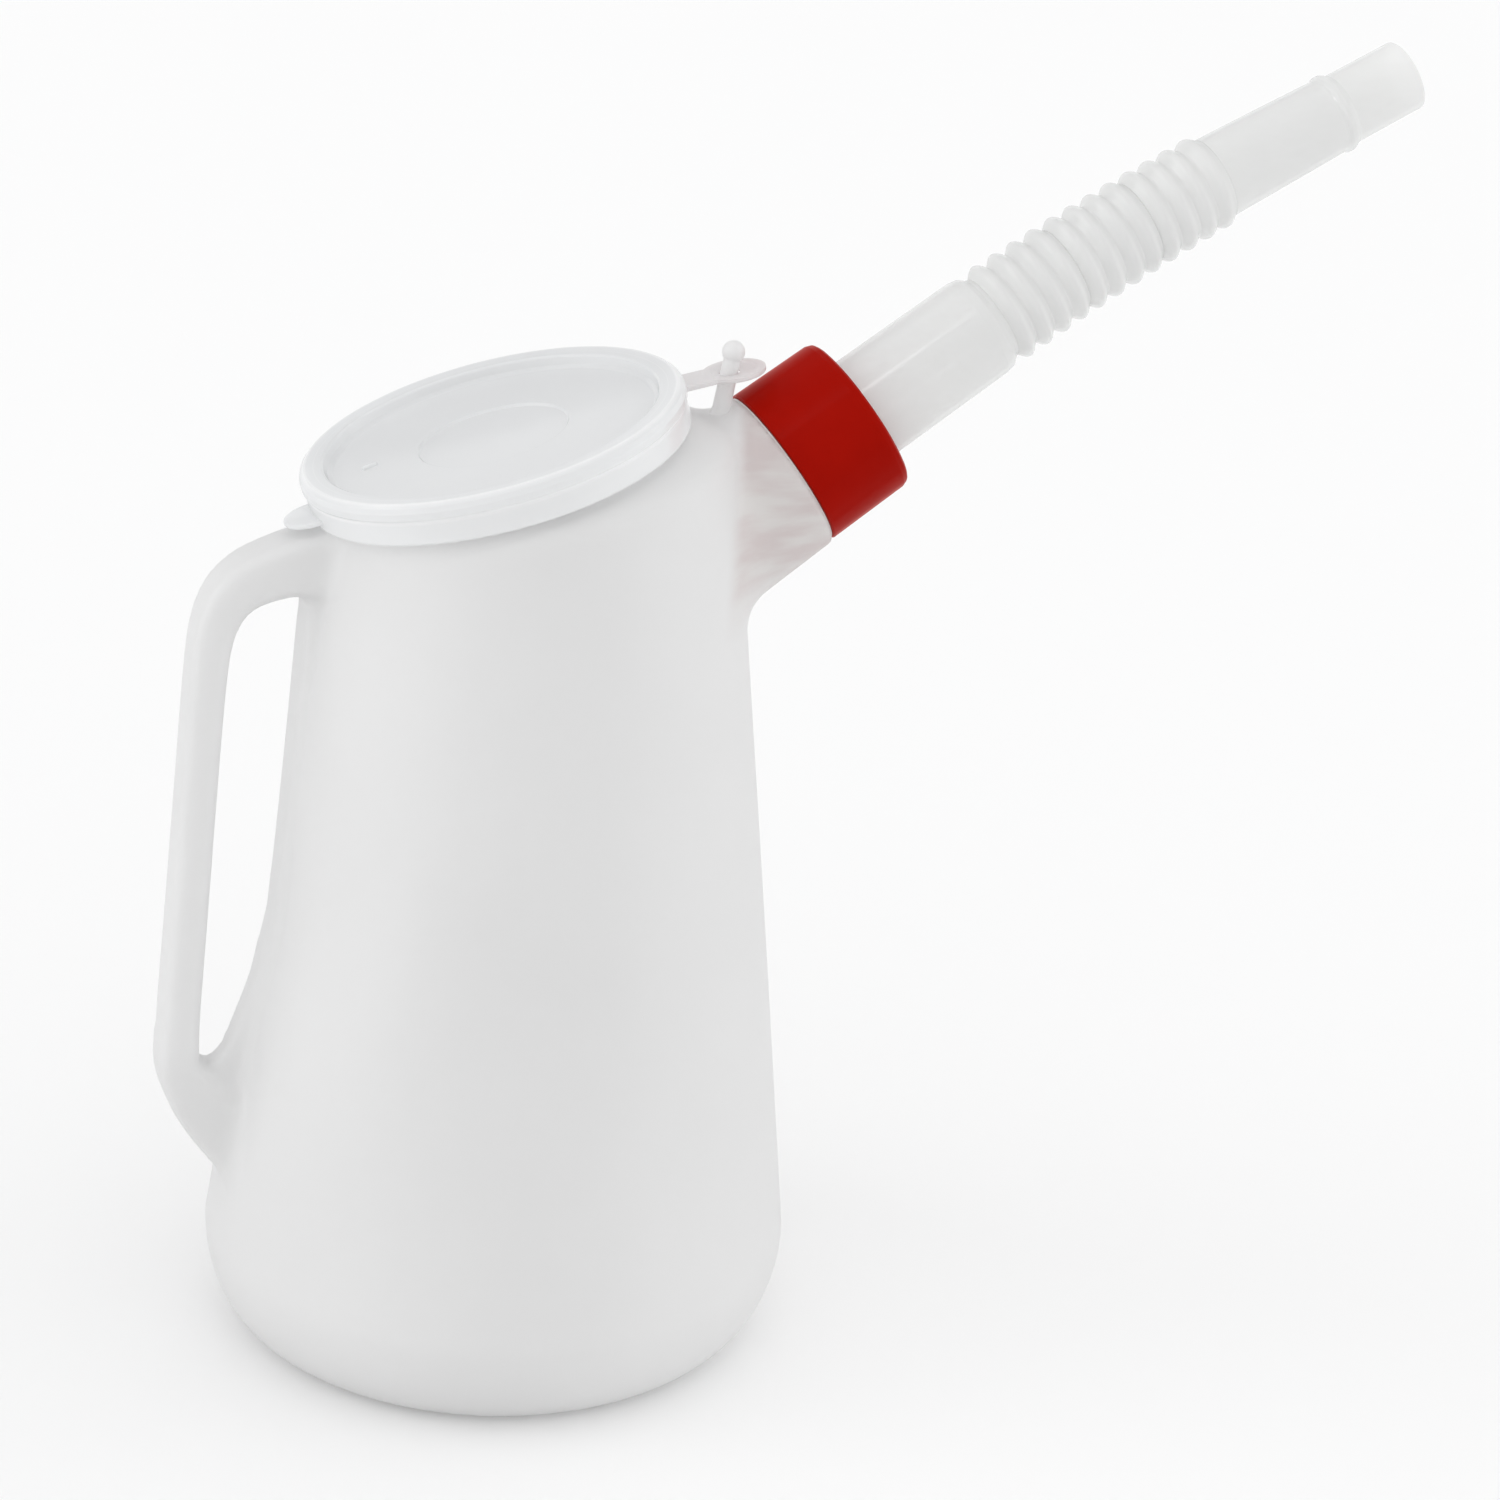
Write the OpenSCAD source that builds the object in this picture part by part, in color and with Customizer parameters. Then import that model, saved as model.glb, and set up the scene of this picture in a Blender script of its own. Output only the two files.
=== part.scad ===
// Oil jug with a tilted press-on lid, a side handle and a screwed-on flexible
// pouring spout. The floor is z = 0, the spout points towards +X, the handle
// is on the -X side and the plane y = 0 halves the jug. Millimetres.

/* [Body] */

// Radius of the flat ring that stands on the floor
base_r = 75.3; // [60:0.1:90]

// Radius of the body at its widest, just above the rounded foot
wide_r = 95; // [80:0.5:110]

// Height of the widest place
wide_z = 31.5; // [20:0.5:45]

// Radius of the tapered body at the height given next
upper_r = 70; // [55:0.5:85]

// Height where that radius is taken
upper_z = 225; // [180:1:260]

// Wall thickness of the blow-moulded body
wall = 2.2; // [1.5:0.1:4]

// Height of the recess under the base
push_up = 3; // [1:0.5:8]

/* [Mouth and lid] */

// Slope of the mouth and the lid, lower on the handle side
mouth_tilt = 17.1; // [0:0.1:30]

// X of the centre of the lid's top rim
lid_x = -13.5; // [-30:0.1:10]

// Z of the centre of the lid's top rim
lid_z = 300.4; // [250:0.1:340]

// Outer radius of the lid
lid_r = 60.1; // [45:0.1:75]

// Height of the lid's skirt
lid_h = 13; // [8:0.5:25]

// Outer radius of the mouth under the lid
mouth_r = 56; // [40:0.1:70]

// Depth of the sunken panel in the lid
panel_drop = 4; // [2:0.5:10]

// Outer radius of the sunken panel's wall
plug_r = 52.6; // [40:0.1:65]

// Radius of the round pull tab, whose centre is on the skirt
tab_r = 9.2; // [5:0.1:15]

// Radius of the sunken disc in the middle of the panel
disc_r = 23.4; // [10:0.1:40]

/* [Handle] */

// Thickness of the grip, front to back
grip_t = 12; // [9:0.5:20]

// Width of the grip, across the hand
grip_w = 17.6; // [12:0.2:30]

// Rounding of the grip's edges
grip_round = 4.8; // [2:0.1:5.5]

/* [Neck and nut] */

// Elevation of the neck's axis
spout_elev = 34.8; // [15:0.1:60]

// X of the point that the spout's lengths are measured from
axis_x = 71.6; // [60:0.1:85]

// Z of that point
axis_z = 275.1; // [260:0.1:300]

// Outer radius of the neck below the nut
neck_r = 26.3; // [20:0.1:32]

// Outer radius of the screwed end of the neck
spigot_r = 22.8; // [18:0.1:25]

// Bore radius of the screwed end
spigot_bore = 20; // [15:0.1:22]

// Outer radius of the union nut at its end next to the neck
nut_r = 26.6; // [22:0.1:32]

// Start of the nut along the axis
nut_start = 13.5; // [13:0.1:16]

// End of the nut along the axis
nut_end = 43.5; // [38:0.1:50]

/* [Spout] */

// Outer radius of the spout where it leaves the nut
tube_r = 17.25; // [14:0.05:20]

// Outer radius of the spout just below the bellows
tube_top_r = 16.9; // [13:0.05:18]

// Wall thickness of the spout
spout_wall = 1.4; // [0.8:0.1:2.5]

// Start of the bellows along the axis
bellows_start = 95.7; // [80:0.1:110]

// Pitch of the bellows
bellows_pitch = 7.1; // [5:0.1:10]

// Ridges in each of the three bellows lengths
bellows_ridges = 4; // [3:1:6]

// Angle by which each length of the spout droops from the last at rest
droop = 1.9; // [0:0.1:4]

// Radius over the ridges of the lowest bellows length
ridge_r = 16.7; // [14:0.1:20]

// Amount by which the ridges of each further length are smaller
ridge_step = 0.45; // [0:0.05:1]

// Radius in the valleys
valley_r = 14; // [12:0.1:16]

// Radius of the nozzle above the bellows
nozzle_r = 13.5; // [11:0.05:15]

// Radius of the stop bead on the nozzle
bead_r = 13.2; // [12:0.1:17]

// Radius of the tip beyond the bead
tip_r = 11.8; // [9:0.05:14]

// End of the tip along the axis
tip_end = 253.4; // [220:0.1:290]

/* [Tether] */

// X of the foot of the post that holds the lid's strap
post_x = 60.4; // [50:0.1:70]

// Radius of the post
post_r = 2.8; // [2:0.1:4]

// Radius of the ball on the post
ball_r = 3.6; // [3:0.1:5]

// Lean of the post towards the spout
post_lean = 9; // [0:0.5:15]

// X of the centre of the strap's eye
eye_x = 64.2; // [55:0.1:72]

// Z of that centre
eye_z = 314.3; // [308:0.1:320]

// Slope of the eye and the strap
eye_tilt = 12; // [0:0.5:20]

// Width of the strap
strap_w = 13; // [6:0.5:18]

// Outer radius of the eye round the post
eye_r = 10; // [6:0.1:12]

/* [Hidden] */

$fn = 96;

slope = (wide_r - upper_r) / (upper_z - wide_z);
spigot_end = 36.5;
seal_end = 38.5;
flange_end = 40.4;
segment = bellows_pitch * bellows_ridges;
bellows_end = bellows_start + 3 * segment;
grip_low = [-107.8, 104];
grip_high = [-99.4, 230.5];
grip_lean = atan((grip_high[0] - grip_low[0]) / (grip_high[1] - grip_low[1]));
grip_len = norm(grip_high - grip_low);
bend_r = 16;
arm_rise = 15;
bend_c = [grip_high[0] + bend_r * cos(grip_lean), grip_high[1] - bend_r * sin(grip_lean)];

// Frame of the lid: origin at the centre of its top rim, Z out of the mouth.
module at_lid() {
    translate([lid_x, 0, lid_z]) rotate([0, -mouth_tilt, 0]) children();
}

// Frame of the spout: Z along its axis, lengths from the axis point.
module at_neck() {
    translate([axis_x, 0, axis_z]) rotate([0, 90 - spout_elev, 0]) children();
}

// Frame of the leaning post, from its foot on top of the neck.
module at_post() {
    translate([post_x, 0, 300]) rotate([0, post_lean, 0]) children();
}

// Frame of the eye and the strap, Z through the hole.
module at_eye() {
    translate([eye_x, 0, eye_z]) rotate([0, -eye_tilt, 0]) children();
}

// Plate in the plane y = 0, drawn in X and Z, of the given width across Y.
module plate(w) {
    rotate([90, 0, 0]) translate([0, 0, -w / 2]) linear_extrude(w) children();
}

// Section with rounded corners, centred.
module rounded(a, b, r) {
    square([a - 2 * r, b], center = true);
    square([a, b - 2 * r], center = true);
    for (i = [-1, 1], j = [-1, 1])
        translate([i * (a / 2 - r), j * (b / 2 - r)]) circle(r);
}

// Foot and taper of the body, moved in by o.
module taper(o) {
    foot_a = wide_r - base_r;
    steps = 9;
    rotate_extrude()
        polygon(concat(
            [[0, o], [base_r - o * 0.6, o]],
            [for (i = [1:steps])
                let (a = 90 * i / steps)
                [base_r + foot_a * sin(a) - o * (0.6 + 0.4 * i / steps),
                 wide_z * (1 - cos(a)) + o * (1 - i / steps)]],
            [[wide_r - o - slope * (318 - wide_z), 318], [0, 318]]));
}

// Envelope that closes the taper towards the sloping mouth, moved in by o.
module crown(o) {
    at_lid() rotate_extrude()
        polygon([[0, -420], [360, -420], [360, -189 - o], [66 - o * 0.4, -19 - o],
                 [57.4 - o * 0.4, -14.2 - o], [0, -14.2 - o]]);
}

// Frame of the spout's drooping lengths: i = 1 to 3 for the bellows, 4 for the
// nozzle. Z runs along the length and starts where the length before it ends.
module at_length(i) {
    if (i == 0) at_neck() translate([0, 0, bellows_start]) children();
    else if (i == 1) at_neck() translate([0, 0, bellows_start]) rotate([0, droop, 0]) children();
    else at_length(i - 1) translate([0, 0, segment]) rotate([0, droop, 0]) children();
}

module neck_outer() {
    at_neck() {
        translate([0, 0, -38]) cylinder(r = neck_r, h = 38 + nut_start - 1.4);
        translate([0, 0, nut_start - 1.4]) cylinder(r1 = neck_r, r2 = neck_r - 1, h = 1);
        translate([0, 0, -26]) cylinder(r1 = 38.6, r2 = neck_r - 0.1, h = 18);
        translate([0, 0, 8]) cylinder(r = spigot_r, h = spigot_end - 8);
    }
}

module neck_inner() {
    at_neck() {
        translate([0, 0, -38]) cylinder(r = neck_r - wall, h = 38 + 7);
        translate([0, 0, 6.9]) cylinder(r1 = neck_r - wall, r2 = spigot_bore, h = 4);
        translate([0, 0, -26 - wall]) cylinder(r1 = 38.6 - wall, r2 = neck_r - wall - 0.1, h = 18);
        translate([0, 0, 6]) cylinder(r = spigot_bore, h = spigot_end);
    }
}

// Handle with its arm and root; i = 0 is the outside, i = 1 the hollow.
module handle(i) {
    o = i * 2;
    t = grip_t - 2 * o;
    w = grip_w - 2 * o;
    r = grip_round - o;
    translate([grip_low[0], 0, grip_low[1] - 4]) rotate([0, grip_lean, 0])
        linear_extrude(grip_len + 4) rounded(t, w, r);
    translate([bend_c[0], 0, bend_c[1]]) rotate([90, 0, 0])
        rotate([0, 0, 90 + arm_rise]) rotate_extrude(angle = 90 - arm_rise - grip_lean)
            translate([bend_r, 0]) rounded(t, w, r);
    translate([bend_c[0], 0, bend_c[1]]) rotate([0, 90 - arm_rise, 0])
        translate([-bend_r, 0, 0]) linear_extrude(40) rounded(t, w, r);
}

// Solid-sided root where the grip runs back into the body.
module root(i) {
    o = i * 2;
    plate(grip_w - 2 * o)
        polygon([[-113.9 + o, 108 - o * 2], [-114.1 + o, 93], [-111.9 + o, 84.2], [-107.8 + o, 76],
                 [-101.4 + o, 68.4], [-94.4 + o, 57.5], [-80, 48 + o], [-68, 96 - o], [-93.6, 96 - o],
                 [-101.8 + o * 0.2, 96 - o], [-101.8 - o, 108 - o * 2]]);
}

// Thin web between the grip's root and the body.
module web() {
    plate(9) polygon([[-97.6, 90], [-96.4, 95.5], [-93, 100.5], [-88.4, 112.5],
                      [-82, 129], [-72, 136], [-72, 90]]);
}

// Raised spine on the body that faces the hand.
module spine(i) {
    o = i * 2.2;
    plate(grip_w - 1.6 - 2 * o) polygon([[-81 + o, 128 + o], [-71.8 + o, 236], [-71.4 + o, 256 - o],
                            [-60, 256 - o], [-60, 120 + o], [-80 + o, 112 + o]]);
}

module jug_body() color([0.93, 0.94, 0.94]) {
    difference() {
        union() {
            intersection() {
                taper(0);
                crown(0);
            }
            at_lid() {
                translate([0, 0, -60]) cylinder(r = mouth_r, h = 60 - 3.2);
                translate([0, 0, -8.4]) cylinder(r1 = mouth_r, r2 = mouth_r + 0.5, h = 1.6);
                translate([0, 0, -6.8]) cylinder(r1 = mouth_r + 0.5, r2 = mouth_r - 0.2, h = 2.6);
            }
            neck_outer();
            handle(0);
            root(0);
            web();
            spine(0);
            at_post() {
                translate([0, 0, -5]) cylinder(r = post_r, h = 23);
                translate([0, 0, -5]) cylinder(r1 = post_r + 2.4, r2 = post_r, h = 6.6);
                translate([0, 0, 20.7]) sphere(ball_r);
            }
        }
        intersection() {
            taper(wall);
            crown(wall);
        }
        at_lid() translate([0, 0, -58]) cylinder(r = mouth_r - wall, h = 60);
        neck_inner();
        handle(1);
        root(1);
        spine(1);
        translate([0, 0, -1]) cylinder(r1 = base_r - 11.5, r2 = base_r - 14.5, h = 1 + push_up);
    }
    difference() {
        translate([0, 0, 0.5]) cylinder(r = base_r - 8, h = push_up + wall - 0.5);
        translate([0, 0, -1]) cylinder(r1 = base_r - 11.5, r2 = base_r - 14.5, h = 1 + push_up);
    }
}

module lid() color([0.92, 0.94, 0.96, 0.85]) at_lid() {
    rotate_extrude()
        polygon([[0, -panel_drop - 0.8], [disc_r - 0.3, -panel_drop - 0.8], [disc_r + 0.3, -panel_drop],
                 [plug_r - 2.2, -panel_drop], [plug_r - 0.9, -panel_drop + 0.9], [plug_r - 0.2, -0.8],
                 [plug_r + 0.4, -0.3], [lid_r - 2.4, 0], [lid_r - 1.6, 0], [lid_r - 0.2, -1.4],
                 [lid_r + 0.3, -2.8], [lid_r + 0.2, -4.8], [lid_r - 0.5, -5.4], [lid_r - 0.6, -6],
                 [lid_r - 0.4, -lid_h], [lid_r - 1.6, -lid_h], [lid_r - 1.9, -2.8], [lid_r - 2.6, -1.8],
                 [plug_r + 1.4, -1.8], [plug_r + 0.6, -2.6], [plug_r, -panel_drop - 1.6],
                 [plug_r - 0.8, -panel_drop - 2], [plug_r - 3, -panel_drop - 1.6],
                 [disc_r - 0.2, -panel_drop - 1.6], [disc_r - 0.8, -panel_drop - 2.4],
                 [0, -panel_drop - 2.4]]);
    translate([0, 0, -10.9]) linear_extrude(1.5) difference() {
        translate([-lid_r + 0.6, 0]) circle(tab_r);
        circle(lid_r - 1.1);
    }
}

module lid_strap() color([0.9, 0.91, 0.93, 0.85]) {
    difference() {
        union() {
            at_eye() translate([0, 0, -0.8]) cylinder(r = eye_r, h = 1.6);
            at_eye() translate([-19.3, -strap_w / 2, -0.8]) cube([13, strap_w, 1.6]);
        }
        at_post() cylinder(r = post_r + 0.5, h = 30);
        at_lid() translate([0, 0, -20]) cylinder(r = lid_r - 0.4, h = 20);
    }
}

module union_nut() color([0.58, 0.06, 0.03]) at_neck() {
    difference() {
        union() {
            translate([0, 0, nut_start]) cylinder(r1 = nut_r, r2 = nut_r - 0.5, h = nut_end - nut_start - 2);
            translate([0, 0, nut_end - 2]) cylinder(r1 = nut_r - 0.5, r2 = nut_r - 2.1, h = 2);
        }
        translate([0, 0, nut_start - 1]) cylinder(r = spigot_r + 0.6, h = flange_end + 0.3 - nut_start + 1);
        translate([0, 0, nut_start - 1]) cylinder(r = tube_r + 0.5, h = 40);
        translate([0, 0, nut_start - 0.01]) cylinder(r1 = spigot_r + 1.4, r2 = spigot_r + 0.6, h = 0.9);
    }
}

module seal_ring() color([0.86, 0.87, 0.88]) at_neck() {
    difference() {
        translate([0, 0, spigot_end + 0.1]) cylinder(r = spigot_r - 0.2, h = seal_end - spigot_end - 0.2);
        translate([0, 0, spigot_end - 1]) cylinder(r = 17, h = 6);
    }
}

module spout_tube() color([0.88, 0.89, 0.9, 0.8]) at_neck() {
    b = bellows_start;
    w = spout_wall;
    rotate_extrude()
        polygon([[tube_r - w, seal_end], [spigot_r, seal_end], [spigot_r, flange_end], [tube_r, flange_end],
                 [tube_r, nut_end + 1], [tube_top_r, b - 5.4], [tube_top_r - 0.9, b - 2.9],
                 [valley_r, b - 1], [valley_r, b - 0.3], [valley_r - w + 0.3, b - 0.3],
                 [valley_r - w + 0.2, b - 1.4], [tube_top_r - w - 0.9, b - 3.5], [tube_top_r - w, b - 5.8],
                 [tube_r - w, nut_end + 1]]);
}

// One length of bellows. Its ends stop short of its neighbours', to leave
// room for the droop.
module bellows(i) {
    p = bellows_pitch;
    w = spout_wall - 0.3;
    top = ridge_r - (i - 1) * ridge_step;
    last = bellows_ridges - 1;
    at_length(i) rotate_extrude()
        polygon(concat(
            [[valley_r, 0.3]],
            [for (k = [0:last], q = [[0.12, valley_r], [0.3, top - 0.6], [0.42, top], [0.58, top],
                                     [0.7, top - 0.6], [0.88, valley_r]])
                [q[1], (k + q[0]) * p]],
            [[valley_r, segment - 0.3], [valley_r - w, segment - 0.3]],
            [for (k = [last:-1:0], q = [[0.82, valley_r - w], [0.57, top - w],
                                        [0.43, top - w], [0.18, valley_r - w]])
                [q[1], (k + q[0]) * p]],
            [[valley_r - w, 0.3]]));
}

module bellows_a() color([0.9, 0.91, 0.92, 0.8]) bellows(1);

module bellows_b() color([0.88, 0.9, 0.91, 0.8]) bellows(2);

module bellows_c() color([0.9, 0.91, 0.92, 0.8]) bellows(3);

module spout_nozzle() color([0.88, 0.89, 0.9, 0.8]) at_length(4) {
    w = spout_wall;
    n = tip_end - bellows_end;
    rotate_extrude()
        polygon([[valley_r - w + 0.3, 0.3], [valley_r, 0.3], [valley_r, 1.2], [nozzle_r, 3],
                 [nozzle_r - 1, n - 29.6], [bead_r, n - 28.2], [bead_r, n - 26.4], [tip_r + 0.2, n - 24.8],
                 [tip_r, n - 24], [tip_r, n], [tip_r - w, n], [tip_r - w, n - 24.4],
                 [nozzle_r - w - 1, n - 29.4], [nozzle_r - w, 3.4], [valley_r - w, 1.4]]);
}

jug_body();
lid();
lid_strap();
union_nut();
seal_ring();
spout_tube();
bellows_a();
bellows_b();
bellows_c();
spout_nozzle();
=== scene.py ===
import bpy
import math
import numpy as np
from mathutils import Matrix, Vector


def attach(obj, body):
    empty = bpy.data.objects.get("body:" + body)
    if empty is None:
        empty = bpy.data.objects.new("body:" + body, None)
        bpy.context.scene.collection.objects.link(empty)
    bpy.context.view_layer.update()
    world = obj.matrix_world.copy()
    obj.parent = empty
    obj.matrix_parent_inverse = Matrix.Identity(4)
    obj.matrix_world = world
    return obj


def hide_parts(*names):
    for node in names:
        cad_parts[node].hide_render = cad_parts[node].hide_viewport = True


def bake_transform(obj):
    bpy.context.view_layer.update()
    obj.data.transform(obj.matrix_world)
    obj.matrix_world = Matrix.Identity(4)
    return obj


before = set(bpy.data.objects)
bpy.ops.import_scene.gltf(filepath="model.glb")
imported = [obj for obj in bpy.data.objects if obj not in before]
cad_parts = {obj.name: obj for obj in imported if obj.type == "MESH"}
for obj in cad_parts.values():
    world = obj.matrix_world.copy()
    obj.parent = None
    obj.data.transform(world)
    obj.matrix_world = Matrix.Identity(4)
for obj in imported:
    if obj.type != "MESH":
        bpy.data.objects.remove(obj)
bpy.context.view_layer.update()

RNG = np.random.default_rng(7)

# ---------------------------------------------------------------- sizes, in mm
TILT = math.radians(17.1)
ELEV = math.radians(34.8)
DROOP = math.radians(1.9)
LID_C = np.array([-13.5, 0.0, 300.4])
LID_N = np.array([-math.sin(TILT), 0.0, math.cos(TILT)])
LID_U = np.array([math.cos(TILT), 0.0, math.sin(TILT)])
AX_O = np.array([71.6, 0.0, 275.1])
AX_D = np.array([math.cos(ELEV), 0.0, math.sin(ELEV)])
AX_V = np.array([-math.sin(ELEV), 0.0, math.cos(ELEV)])
WALL = 2.2
POST_O = np.array([60.4, 0.0, 300.0])
POST_N = np.array([math.sin(math.radians(9)), 0.0, math.cos(math.radians(9))])
EYE_O = np.array([64.2, 0.0, 314.3])
EYE_U = np.array([math.cos(math.radians(12)), 0.0, math.sin(math.radians(12))])
EYE_N = np.array([-math.sin(math.radians(12)), 0.0, math.cos(math.radians(12))])


# ------------------------------------------------------- shape of the jug body
def smin(a, b, k):
    h = np.clip(0.5 + 0.5 * (b - a) / k, 0.0, 1.0)
    return b * (1 - h) + a * h - k * h * (1 - h)


def smax(a, b, k):
    return -smin(-a, -b, k)


def taper(p):
    """Rounded foot and tapering wall, round about an axis that leans a touch to the spout."""
    z = p[:, 2]
    x = p[:, 0] - (-0.8 + 1.9 * np.clip((z - 31.5) / 193.5, -0.2, 1.4))
    r = np.hypot(x, p[:, 1])
    side = x / np.maximum(r, 1.0)
    bow = (0.35 * side - 0.1) * np.sin(np.pi * np.clip((z - 31.5) / 193.5, 0, 1))
    # shallow hollow behind the grip that gives the hand its room
    facing = np.clip((-side - 0.62) / 0.26, 0, 1)
    bow = bow - 3.2 * facing * facing * (3 - 2 * facing) * np.exp(-(((z - 147) / 34.0) ** 2))
    wall = 95.0 - 0.1292 * (z - 31.5) + bow
    f_wall = (r - wall) * 0.9917
    e = np.sqrt((np.maximum(r - 75.3, 0) / 19.7) ** 2 + ((31.5 - z) / 31.5) ** 2) - 1
    f_foot = np.where(r > 75.3, e * 24.0, -z)
    return np.where(z > 31.5, f_wall, f_foot)


def crown(p):
    """Envelope that rounds the taper over towards the sloping mouth."""
    q = p - LID_C
    w = q @ LID_N
    r = np.hypot(q @ LID_U, p[:, 1])
    a = w + 14.4
    b = (r - 57.2) * 0.487 + (w + 14.4) * 0.873
    c = (r - 66.0) * 0.5006 + (w + 19.3) * 0.8657
    return smax(smax(a, b, 1.6), c, 5.0)


def along_path(p, path):
    """Distance in X and Z to a path of points, and its two half sizes there."""
    best = np.full(len(p), 1e9)
    a = np.zeros(len(p))
    b = np.zeros(len(p))
    q = p[:, [0, 2]]
    for s, e in zip(path[:-1], path[1:]):
        s, e = np.array(s, float), np.array(e, float)
        d = e[:2] - s[:2]
        t = np.clip(((q - s[:2]) @ d) / (d @ d), 0, 1)
        dist = np.hypot(*(q - s[:2] - t[:, None] * d).T)
        near = dist < best
        best[near] = dist[near]
        a[near] = (s[2] + t * (e[2] - s[2]))[near]
        b[near] = (s[3] + t * (e[3] - s[3]))[near]
    return best, a, b


def bar(p, path, r):
    d, a, b = along_path(p, path)
    qx = d - (a - r)
    qy = np.abs(p[:, 1]) - (b - r)
    return np.hypot(np.maximum(qx, 0), np.maximum(qy, 0)) + np.minimum(np.maximum(qx, qy), 0) - r


def smooth_path(points, per=5):
    """Catmull-Rom through the points, with the half sizes carried along."""
    pts = np.array(points, float)
    ext = np.vstack([2 * pts[0] - pts[1], pts, 2 * pts[-1] - pts[-2]])
    out = []
    for i in range(1, len(ext) - 2):
        p0, p1, p2, p3 = ext[i - 1 : i + 3]
        for t in np.linspace(0, 1, per, endpoint=False):
            out.append(
                0.5
                * (
                    2 * p1
                    + (p2 - p0) * t
                    + (2 * p0 - 5 * p1 + 4 * p2 - p3) * t**2
                    + (3 * p1 - p0 - 3 * p2 + p3) * t**3
                )
            )
    out.append(ext[-2])
    return [tuple(v) for v in out]


def polygon(p, pts):
    """Signed distance in X and Z to a closed polygon."""
    q = p[:, [0, 2]]
    pts = np.array(pts, float)
    best = np.full(len(p), 1e18)
    inside = np.zeros(len(p), bool)
    for s, e in zip(pts, np.roll(pts, -1, axis=0)):
        d = e - s
        t = np.clip(((q - s) @ d) / (d @ d), 0, 1)
        best = np.minimum(best, ((q - s - t[:, None] * d) ** 2).sum(1))
        cross = ((s[1] > q[:, 1]) != (e[1] > q[:, 1])) & (
            q[:, 0] < (e[0] - s[0]) * (q[:, 1] - s[1]) / (e[1] - s[1] + 1e-12) + s[0]
        )
        inside ^= cross
    d = np.sqrt(best)
    return np.where(inside, -d, d)


def plate(p, pts, half, r):
    d = polygon(p, pts)
    qx = d + r
    qy = np.abs(p[:, 1]) - (half - r)
    return np.hypot(np.maximum(qx, 0), np.maximum(qy, 0)) + np.minimum(np.maximum(qx, qy), 0) - r


GRIP = smooth_path(
    [
        (-107.6, 98.0, 5.9, 8.7),
        (-106.9, 116.0, 5.8, 8.7),
        (-104.8, 148.0, 5.7, 8.7),
        (-102.0, 192.0, 5.6, 8.7),
        (-99.6, 226.0, 5.7, 8.7),
        (-97.4, 240.0, 6.1, 8.8),
        (-93.4, 248.6, 6.8, 9.0),
        (-87.2, 254.0, 7.5, 9.3),
        (-79.0, 257.2, 8.1, 9.8),
        (-69.0, 259.6, 8.8, 10.5),
        (-56.0, 261.5, 9.0, 11.0),
    ],
    4,
)
ROOT = smooth_path(
    [
        (-107.8, 104.0, 5.9, 8.7),
        (-107.5, 95.0, 6.4, 8.8),
        (-103.4, 86.0, 7.8, 9.0),
        (-95.5, 76.0, 9.8, 9.4),
        (-85.0, 66.0, 12.0, 10.5),
        (-74.0, 58.0, 13.5, 12.0),
    ],
    4,
)
SPINE = smooth_path(
    [
        (-61.5, 258.0, 7.0, 7.6),
        (-63.6, 240.0, 7.0, 7.7),
        (-64.9, 222.0, 7.0, 7.8),
        (-67.9, 182.0, 7.0, 8.0),
        (-71.4, 144.0, 7.0, 8.2),
        (-73.9, 126.0, 7.0, 8.4),
        (-77.5, 106.0, 7.0, 8.6),
        (-81.0, 88.0, 7.0, 8.8),
    ],
    4,
)
WEB = [
    (-101.8, 80.0),
    (-101.9, 93.2),
    (-97.4, 94.0),
    (-93.0, 99.6),
    (-88.0, 111.5),
    (-82.6, 124.0),
    (-80.6, 133.0),
    (-68.0, 150.0),
    (-68.0, 80.0),
]


def outer(p):
    """Signed distance to the moulding's outside, closed over at the mouth and the neck."""
    f = smax(taper(p), crown(p), 4.0)
    q = p - LID_C
    w = q @ LID_N
    r = np.hypot(q @ LID_U, p[:, 1])
    finish = np.maximum(np.maximum(r - 55.9, w + 8.8), -50 - w)
    f = smin(f, finish, 1.6)
    # neck
    q = p - AX_O
    length = q @ AX_D
    v = q @ AX_V
    rn = np.hypot(v, p[:, 1])
    # a touch eccentric, so that its lower side stands proud of the nut
    rn = np.hypot(v + 0.4, p[:, 1]) - 27.55 - 0.03 * np.clip(11 - length, -2, 24)
    neck = np.maximum(smax(rn, length - 13.1, 2.2), -36 - length)
    k = np.interp(v, [-28.0, -14.0, 0.0, 14.0, 28.0], [8.0, 11.0, 12.0, 9.0, 5.0])
    f = smin(f, neck, k)
    # handle side
    side = p[:, 0] < -48
    if side.any():
        s = p[side]
        g = f[side]
        spine = bar(s, SPINE, 3.0)
        g = smin(g, spine, 2.2)
        web = plate(s, WEB, 4.6, 2.6)
        g = smin(g, web, 6.0)
        hand = smin(bar(s, GRIP, 3.9), bar(s, ROOT, 4.2), 1.0)
        body_k = 7.0
        g = smin(g, hand, body_k)
        f[side] = g
    # low pad under the tether's post
    q = p - POST_O
    up = q @ POST_N
    rp = np.sqrt(np.maximum((q**2).sum(1) - up**2, 0))
    pad = np.maximum(up * 0.8 + np.maximum(rp - 3.4, 0) * 0.6, np.maximum(rp - 6.0, -6 - up))
    f = smin(f, pad, 2.0)
    # recess under the base
    r0 = np.hypot(p[:, 0], p[:, 1])
    recess = np.maximum(p[:, 2] - 3.0, (r0 - 63.0 + p[:, 2]) * 0.7)
    f = smax(f, -recess, 2.0)
    return f


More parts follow.
